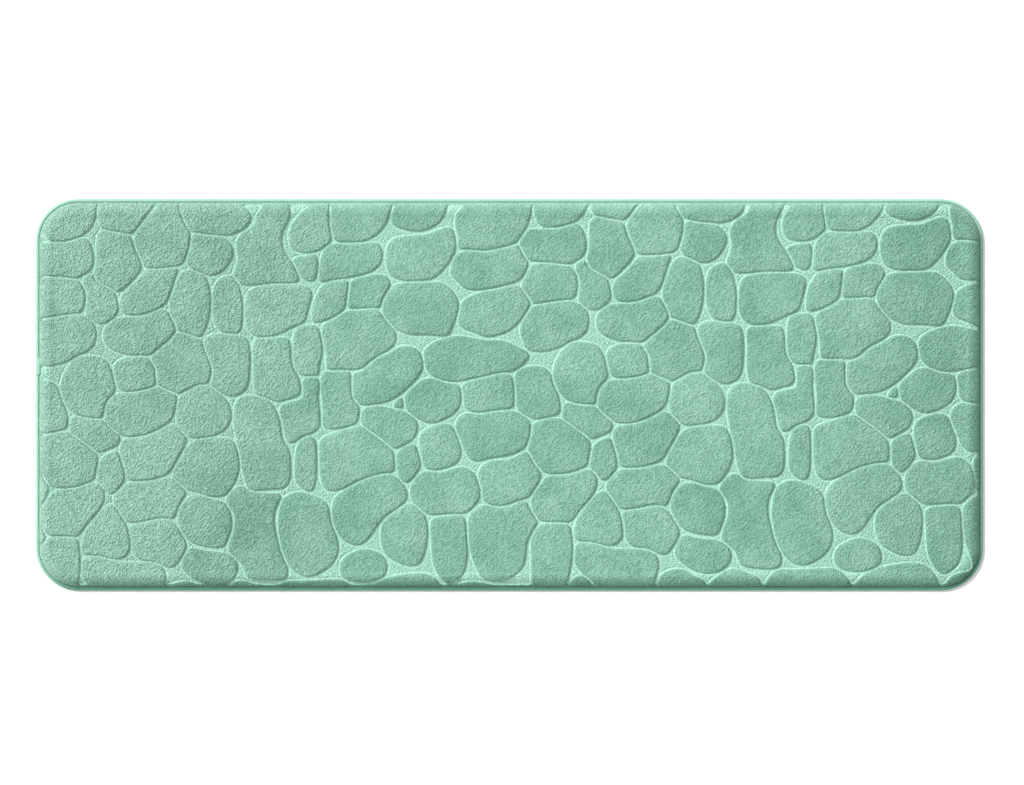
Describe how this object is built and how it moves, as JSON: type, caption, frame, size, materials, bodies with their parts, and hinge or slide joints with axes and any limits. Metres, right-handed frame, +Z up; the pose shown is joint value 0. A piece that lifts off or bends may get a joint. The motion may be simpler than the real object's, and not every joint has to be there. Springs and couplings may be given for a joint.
{
  "type": "bath mat",
  "caption": "Long rectangular memory-foam bath mat with round corners, a cobblestone-embossed fleece face, a stitched edge tape and a dotted grip underside.",
  "frame": {"origin": "on the floor under the middle of the mat", "axes": "+X along the mat, +Y across it, +Z up out of the tread face"},
  "size_m": [1.2, 0.496, 0.016],
  "materials": {
    "fleece": "mint-green coral fleece, short dense clumpy pile, matt with a faint sheen",
    "foam": "cream open-cell memory foam, matt",
    "backing": "pale grey-green plain-woven polyester, matt",
    "grip": "translucent white soft PVC, satin",
    "tape": "mint-green twill binding tape, matt",
    "thread": "green spun polyester sewing thread",
    "satin": "white woven satin label, blank"
  },
  "bodies": {
    "root": {"face_cover": "fleece", "foam_core": "foam", "backing_cloth": "backing", "grip_dots": "grip", "edge_tape": "tape", "needle_thread": "thread", "bobbin_thread": "thread", "care_label": "satin"}
  },
  "joints": []
}
